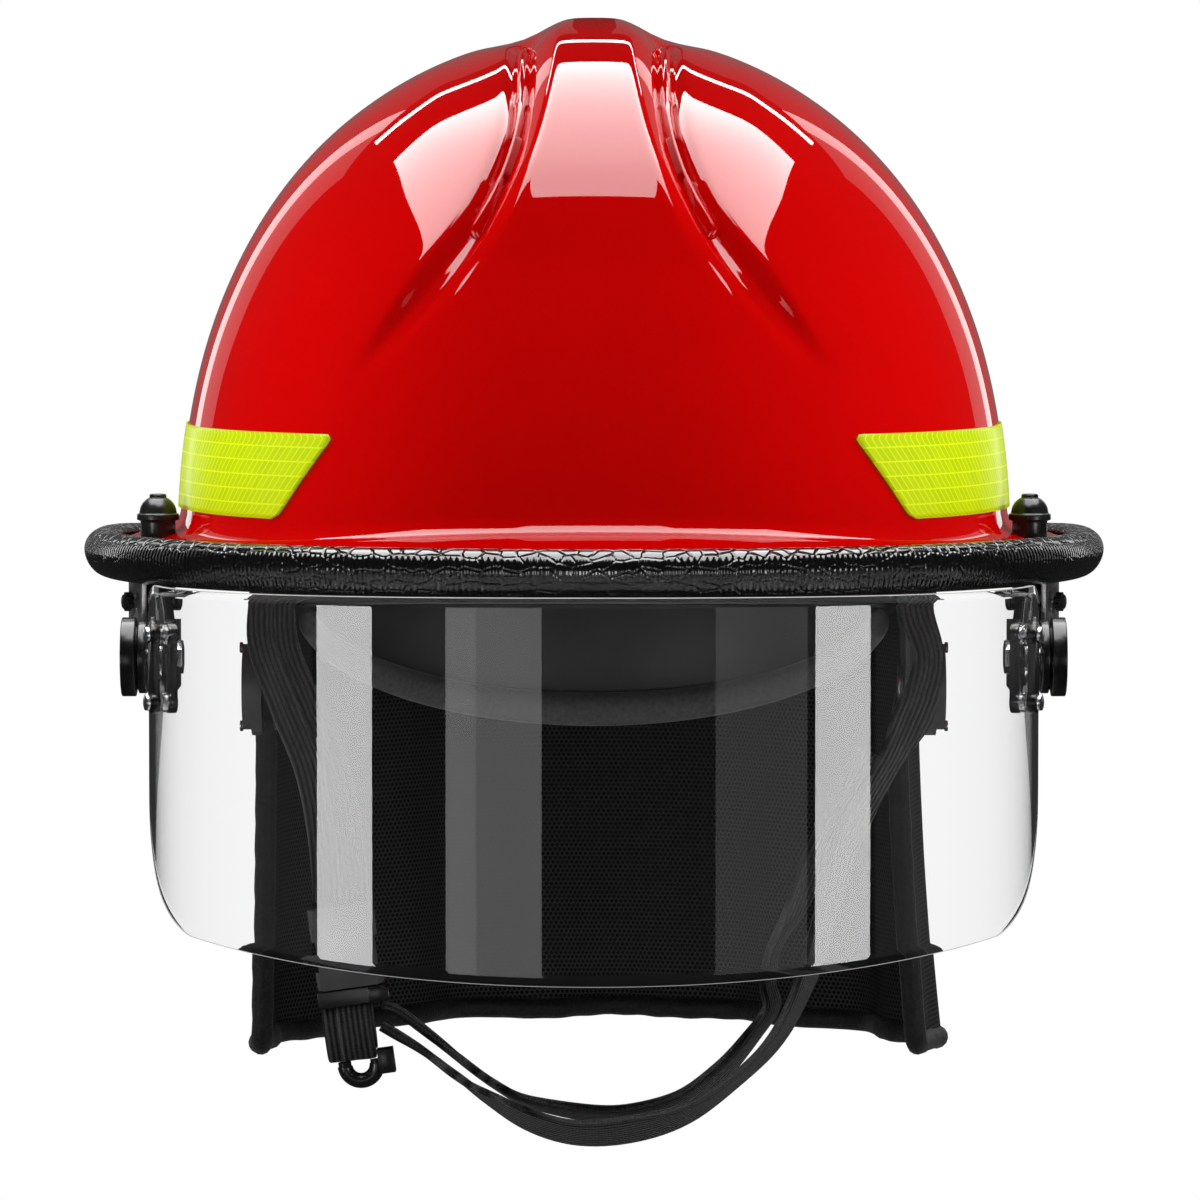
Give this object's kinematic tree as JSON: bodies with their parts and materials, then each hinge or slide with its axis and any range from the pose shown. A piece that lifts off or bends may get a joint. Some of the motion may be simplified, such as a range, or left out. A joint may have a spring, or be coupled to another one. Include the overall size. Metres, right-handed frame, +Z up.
{
  "type": "fire helmet",
  "caption": "Glossy crested shell with a rolled-trim brim, clear flip-up visor on clamped pivots, fabric neck and ear cover, ratchet suspension and a buckled chin strap",
  "frame": {"origin": "centre of the head opening, level with the widest part of the brim edge", "axes": "+X to the right as seen from the front, +Y to the rear along the longest side, +Z up"},
  "size_m": [0.2892, 0.3586, 0.312],
  "materials": {
    "shell_red": "high gloss",
    "trim_rubber": "crackled grain",
    "tape_lime": "honeycomb reflective",
    "liner_foam": "moulded foam",
    "harness_black": "satin",
    "pad_fabric": "brushed",
    "strap_grey": "woven",
    "cover_fabric": "woven",
    "visor_clear": "clear polycarbonate",
    "metal_black": "black oxide",
    "plate_grey": "satin",
    "clamp_black": "satin",
    "steel": "plain",
    "webbing": "ribbed weave",
    "buckle_grey": "satin",
    "buckle_black": "satin"
  },
  "bodies": {
    "helmet": {"outer_shell": "shell_red", "edge_trim": "trim_rubber", "tape_front_left": "tape_lime", "tape_front_right": "tape_lime", "tape_rear_left": "tape_lime", "tape_rear_right": "tape_lime", "impact_liner": "liner_foam", "suspension_ring": "harness_black", "headband": "harness_black", "side_arms": "harness_black", "pivot_discs": "harness_black", "strap_anchors": "harness_black", "brow_pad": "pad_fabric", "crown_pad": "pad_fabric", "crown_strap_cross": "strap_grey", "crown_strap_left": "strap_grey", "crown_strap_right": "strap_grey", "neck_cover": "cover_fabric", "cover_binding": "cover_fabric", "cover_tape": "cover_fabric", "visor_bushes": "visor_clear", "bracket_left": "metal_black", "bracket_right": "metal_black", "bracket_screws": "metal_black", "bracket_nuts": "metal_black", "brim_bolts": "metal_black", "cap_nuts": "metal_black", "bracket_tab_left": "plate_grey", "bracket_tab_right": "plate_grey", "visor_bolts": "steel", "disc_screws": "steel", "pivot_washers": "steel"},
    "visor_unit": {"visor": "visor_clear", "outer_clamps": "clamp_black", "inner_clamps": "clamp_black", "clamp_washers": "visor_clear", "clamp_screws": "steel"},
    "knob_left_unit": {"knob_left": "clamp_black"},
    "knob_right_unit": {"knob_right": "clamp_black"},
    "cradle": {"nape_cradle": "harness_black", "nape_pad": "pad_fabric", "ratchet_housing": "harness_black"},
    "ratchet_dial": {"ratchet_knob": "harness_black"},
    "rack_left_unit": {"rack_left": "harness_black"},
    "rack_right_unit": {"rack_right": "harness_black"},
    "chin_strap": {"webbing_left": "webbing", "webbing_outer": "webbing", "webbing_inner": "webbing", "buckle_tongue": "buckle_black", "webbing_slide": "webbing", "slide_hook": "buckle_black"},
    "buckle": {"buckle_body": "buckle_grey"},
    "prong_left_unit": {"prong_left": "buckle_grey"},
    "prong_right_unit": {"prong_right": "buckle_grey"}
  },
  "joints": [
    {"name": "visor_tilt", "type": "hinge", "parent": "helmet", "child": "visor_unit", "pos_m": [0, -0.092, -0.0244], "axis": [-1, 0, 0], "range_deg": [0, 55]},
    {"name": "knob_left_turn", "type": "hinge", "parent": "helmet", "child": "knob_left_unit", "pos_m": [-0.124, -0.092, -0.0244], "axis": [-1, 0, 0], "range_deg": [-180, 180]},
    {"name": "knob_right_turn", "type": "hinge", "parent": "helmet", "child": "knob_right_unit", "pos_m": [0.124, -0.092, -0.0244], "axis": [1, 0, 0], "range_deg": [-180, 180]},
    {"name": "cradle_tilt", "type": "hinge", "parent": "helmet", "child": "cradle", "pos_m": [0, -0.041, -0.036], "axis": [1, 0, 0], "range_deg": [-6, 6]},
    {"name": "ratchet_turn", "type": "hinge", "parent": "cradle", "child": "ratchet_dial", "pos_m": [0, 0.12, -0.0325], "axis": [0, 1, 0], "range_deg": [-110, 110]},
    {"name": "rack_right_slide", "type": "hinge", "parent": "cradle", "child": "rack_right_unit", "pos_m": [0, 0.017, -0.0325], "axis": [0, 0, 1], "range_deg": [-4, 4]},
    {"name": "rack_left_slide", "type": "hinge", "parent": "cradle", "child": "rack_left_unit", "pos_m": [0, 0.017, -0.0325], "axis": [0, 0, 1], "range_deg": [-4, 4]},
    {"name": "strap_swing", "type": "hinge", "parent": "helmet", "child": "chin_strap", "pos_m": [0, -0.066, -0.002], "axis": [1, 0, 0], "range_deg": [-25, 8]},
    {"name": "buckle_release", "type": "slide", "parent": "chin_strap", "child": "buckle", "axis": [-0.1392, 0, 0.9903], "range_m": [0, 0.022], "deforming": ["webbing_left"]},
    {"name": "prong_left_press", "type": "hinge", "parent": "chin_strap", "child": "prong_left_unit", "pos_m": [-0.07079, -0.066, -0.11776], "axis": [0, 1, 0], "range_deg": [0, 7], "stiffness_Nm_per_rad": 0.1},
    {"name": "prong_right_press", "type": "hinge", "parent": "chin_strap", "child": "prong_right_unit", "pos_m": [-0.06247, -0.066, -0.11659], "axis": [0, -1, 0], "range_deg": [0, 7], "stiffness_Nm_per_rad": 0.1}
  ],
  "couplings": [
    {"joint": "rack_right_slide", "follows": "ratchet_turn", "ratio": -0.03511},
    {"joint": "rack_left_slide", "follows": "ratchet_turn", "ratio": 0.03511}
  ]
}
